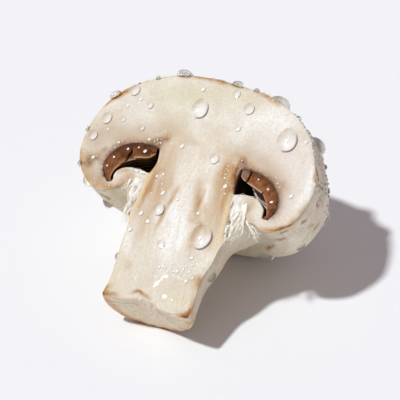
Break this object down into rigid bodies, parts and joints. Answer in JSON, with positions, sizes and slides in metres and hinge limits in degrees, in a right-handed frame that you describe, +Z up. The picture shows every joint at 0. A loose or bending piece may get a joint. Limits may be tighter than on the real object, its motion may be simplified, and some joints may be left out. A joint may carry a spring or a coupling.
{
  "type": "button mushroom",
  "caption": "Closed-cup button mushroom cut along its stem, lying on its rounded back, with brown gills in the curved hollow between cap and stem.",
  "frame": {"origin": "on the resting surface, under the middle of the part's bounding box", "axes": "+Z up, -Y towards the cut end of the stem, +Y towards the crown of the cap, +X to the right when looking along +Y at the cut face"},
  "size_m": [0.0526, 0.052, 0.0383],
  "materials": {
    "flesh": "moist, satin, cream with tan and brown bruises",
    "gills": "moist, satin, brown with darker seams",
    "water": "clear water"
  },
  "bodies": {
    "root": {"flesh": "flesh", "gills": "gills"}
  },
  "joints": []
}
